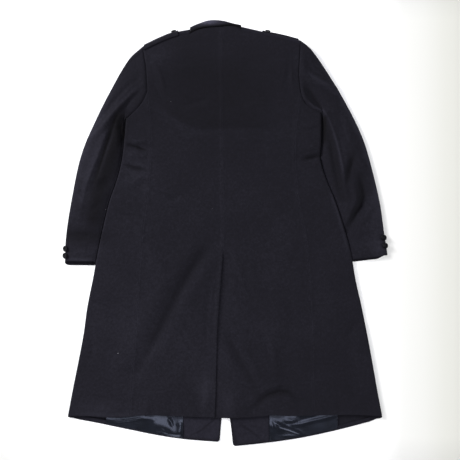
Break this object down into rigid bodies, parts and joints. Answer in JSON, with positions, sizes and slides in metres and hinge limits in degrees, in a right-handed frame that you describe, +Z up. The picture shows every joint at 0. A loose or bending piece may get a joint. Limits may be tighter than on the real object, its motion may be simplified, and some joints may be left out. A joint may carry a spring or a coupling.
{
  "type": "double-breasted overcoat",
  "caption": "Long double-breasted wool overcoat laid flat with its back up: set-in sleeves, rolled collar, centre vent, shoulder straps, cuff and front buttons, satin-lined fronts.",
  "frame": {"origin": "on the surface the coat lies on, under the middle of its outline", "axes": "+Y towards the collar, +X towards the wearer's right, +Z up through the back"},
  "size_m": [0.9721, 1.2733, 0.0323],
  "materials": {
    "wool_melton": "milled navy-black wool melton with a short nap",
    "satin_lining": "blue-grey satin-weave lining",
    "buttons": "polished dark horn-like plastic"
  },
  "bodies": {
    "root": {"back_left": "wool_melton", "back_right": "wool_melton", "collar": "wool_melton", "cuff_button_left_1": "buttons", "cuff_button_left_2": "buttons", "cuff_button_right_1": "buttons", "cuff_button_right_2": "buttons", "epaulette_button_left": "buttons", "epaulette_button_right": "buttons", "epaulette_left": "wool_melton", "epaulette_right": "wool_melton", "facing_left": "wool_melton", "facing_right": "wool_melton", "front_button_edge_1": "buttons", "front_button_edge_2": "buttons", "front_button_edge_3": "buttons", "front_button_inner_1": "buttons", "front_button_inner_2": "buttons", "front_button_inner_3": "buttons", "front_left": "wool_melton", "front_right": "wool_melton", "hem_turnup_left": "wool_melton", "hem_turnup_right": "wool_melton", "lapel_left": "wool_melton", "lapel_right": "wool_melton", "lining_left": "satin_lining", "lining_right": "satin_lining", "side_body_left": "wool_melton", "side_body_right": "wool_melton", "topsleeve_left": "wool_melton", "topsleeve_right": "wool_melton", "undersleeve_left": "wool_melton", "undersleeve_right": "wool_melton"}
  },
  "joints": []
}
